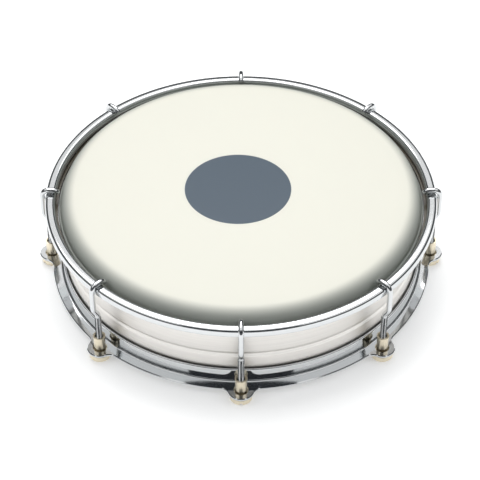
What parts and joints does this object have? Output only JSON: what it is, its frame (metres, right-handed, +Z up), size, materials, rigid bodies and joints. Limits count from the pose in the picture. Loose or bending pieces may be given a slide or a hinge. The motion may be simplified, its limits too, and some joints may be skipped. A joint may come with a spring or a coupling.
{
  "type": "tamborim",
  "caption": "Small round frame drum: film head on a curled metal shell, held by a rounded hoop, J-hooks and slotted sleeve nuts on an eared lower ring.",
  "frame": {"origin": "on the drum's axis, at the level of the undersides of the nut heads, which the drum stands on", "axes": "+Z up along the drum's axis, through the playing head; -Y towards the player, at hook 1"},
  "size_m": [0.1758, 0.1758, 0.041],
  "materials": {
    "satin_aluminium": "satin, brushed round the shell",
    "chrome_plate": "bright chrome plate",
    "nickel_plated_brass": "nickel plate worn to a champagne tone, satin",
    "milky_film": "milky film with a fine matt coat",
    "mill_aluminium": "mill finish",
    "amber_resin": "cast resin"
  },
  "bodies": {
    "drum": {"shell": "satin_aluminium", "drumhead_film": "milky_film", "flesh_hoop": "mill_aluminium", "resin_bead": "amber_resin", "top_hoop": "chrome_plate", "lower_ring": "chrome_plate"},
    "hook_1": {"tension_hook_1": "chrome_plate"},
    "nut_1": {"tension_nut_1": "nickel_plated_brass"},
    "hook_2": {"tension_hook_2": "chrome_plate"},
    "nut_2": {"tension_nut_2": "nickel_plated_brass"},
    "hook_3": {"tension_hook_3": "chrome_plate"},
    "nut_3": {"tension_nut_3": "nickel_plated_brass"},
    "hook_4": {"tension_hook_4": "chrome_plate"},
    "nut_4": {"tension_nut_4": "nickel_plated_brass"},
    "hook_5": {"tension_hook_5": "chrome_plate"},
    "nut_5": {"tension_nut_5": "nickel_plated_brass"},
    "hook_6": {"tension_hook_6": "chrome_plate"},
    "nut_6": {"tension_nut_6": "nickel_plated_brass"},
    "hook_7": {"tension_hook_7": "chrome_plate"},
    "nut_7": {"tension_nut_7": "nickel_plated_brass"},
    "hook_8": {"tension_hook_8": "chrome_plate"},
    "nut_8": {"tension_nut_8": "nickel_plated_brass"}
  },
  "joints": [
    {"name": "nut_1_turn", "type": "hinge", "parent": "drum", "child": "nut_1", "pos_m": [0, -0.0826, 0.006], "axis": [0, 0, -1], "range_deg": [0, 3600]},
    {"name": "hook_1_slide", "type": "slide", "parent": "drum", "child": "hook_1", "axis": [0, 0, 1], "range_m": [0, 0.005]},
    {"name": "nut_2_turn", "type": "hinge", "parent": "drum", "child": "nut_2", "pos_m": [0.05841, -0.05841, 0.006], "axis": [0, 0, -1], "range_deg": [0, 3600]},
    {"name": "hook_2_slide", "type": "slide", "parent": "drum", "child": "hook_2", "axis": [0, 0, 1], "range_m": [0, 0.005]},
    {"name": "nut_3_turn", "type": "hinge", "parent": "drum", "child": "nut_3", "pos_m": [0.0826, 0, 0.006], "axis": [0, 0, -1], "range_deg": [0, 3600]},
    {"name": "hook_3_slide", "type": "slide", "parent": "drum", "child": "hook_3", "axis": [0, 0, 1], "range_m": [0, 0.005]},
    {"name": "nut_4_turn", "type": "hinge", "parent": "drum", "child": "nut_4", "pos_m": [0.05841, 0.05841, 0.006], "axis": [0, 0, -1], "range_deg": [0, 3600]},
    {"name": "hook_4_slide", "type": "slide", "parent": "drum", "child": "hook_4", "axis": [0, 0, 1], "range_m": [0, 0.005]},
    {"name": "nut_5_turn", "type": "hinge", "parent": "drum", "child": "nut_5", "pos_m": [0, 0.0826, 0.006], "axis": [0, 0, -1], "range_deg": [0, 3600]},
    {"name": "hook_5_slide", "type": "slide", "parent": "drum", "child": "hook_5", "axis": [0, 0, 1], "range_m": [0, 0.005]},
    {"name": "nut_6_turn", "type": "hinge", "parent": "drum", "child": "nut_6", "pos_m": [-0.05841, 0.05841, 0.006], "axis": [0, 0, -1], "range_deg": [0, 3600]},
    {"name": "hook_6_slide", "type": "slide", "parent": "drum", "child": "hook_6", "axis": [0, 0, 1], "range_m": [0, 0.005]},
    {"name": "nut_7_turn", "type": "hinge", "parent": "drum", "child": "nut_7", "pos_m": [-0.0826, 0, 0.006], "axis": [0, 0, -1], "range_deg": [0, 3600]},
    {"name": "hook_7_slide", "type": "slide", "parent": "drum", "child": "hook_7", "axis": [0, 0, 1], "range_m": [0, 0.005]},
    {"name": "nut_8_turn", "type": "hinge", "parent": "drum", "child": "nut_8", "pos_m": [-0.05841, -0.05841, 0.006], "axis": [0, 0, -1], "range_deg": [0, 3600]},
    {"name": "hook_8_slide", "type": "slide", "parent": "drum", "child": "hook_8", "axis": [0, 0, 1], "range_m": [0, 0.005]}
  ],
  "couplings": [
    {"joint": "nut_1_turn", "follows": "hook_1_slide", "rad_per_m": 12566},
    {"joint": "nut_2_turn", "follows": "hook_2_slide", "rad_per_m": 12566},
    {"joint": "nut_3_turn", "follows": "hook_3_slide", "rad_per_m": 12566},
    {"joint": "nut_4_turn", "follows": "hook_4_slide", "rad_per_m": 12566},
    {"joint": "nut_5_turn", "follows": "hook_5_slide", "rad_per_m": 12566},
    {"joint": "nut_6_turn", "follows": "hook_6_slide", "rad_per_m": 12566},
    {"joint": "nut_7_turn", "follows": "hook_7_slide", "rad_per_m": 12566},
    {"joint": "nut_8_turn", "follows": "hook_8_slide", "rad_per_m": 12566}
  ]
}
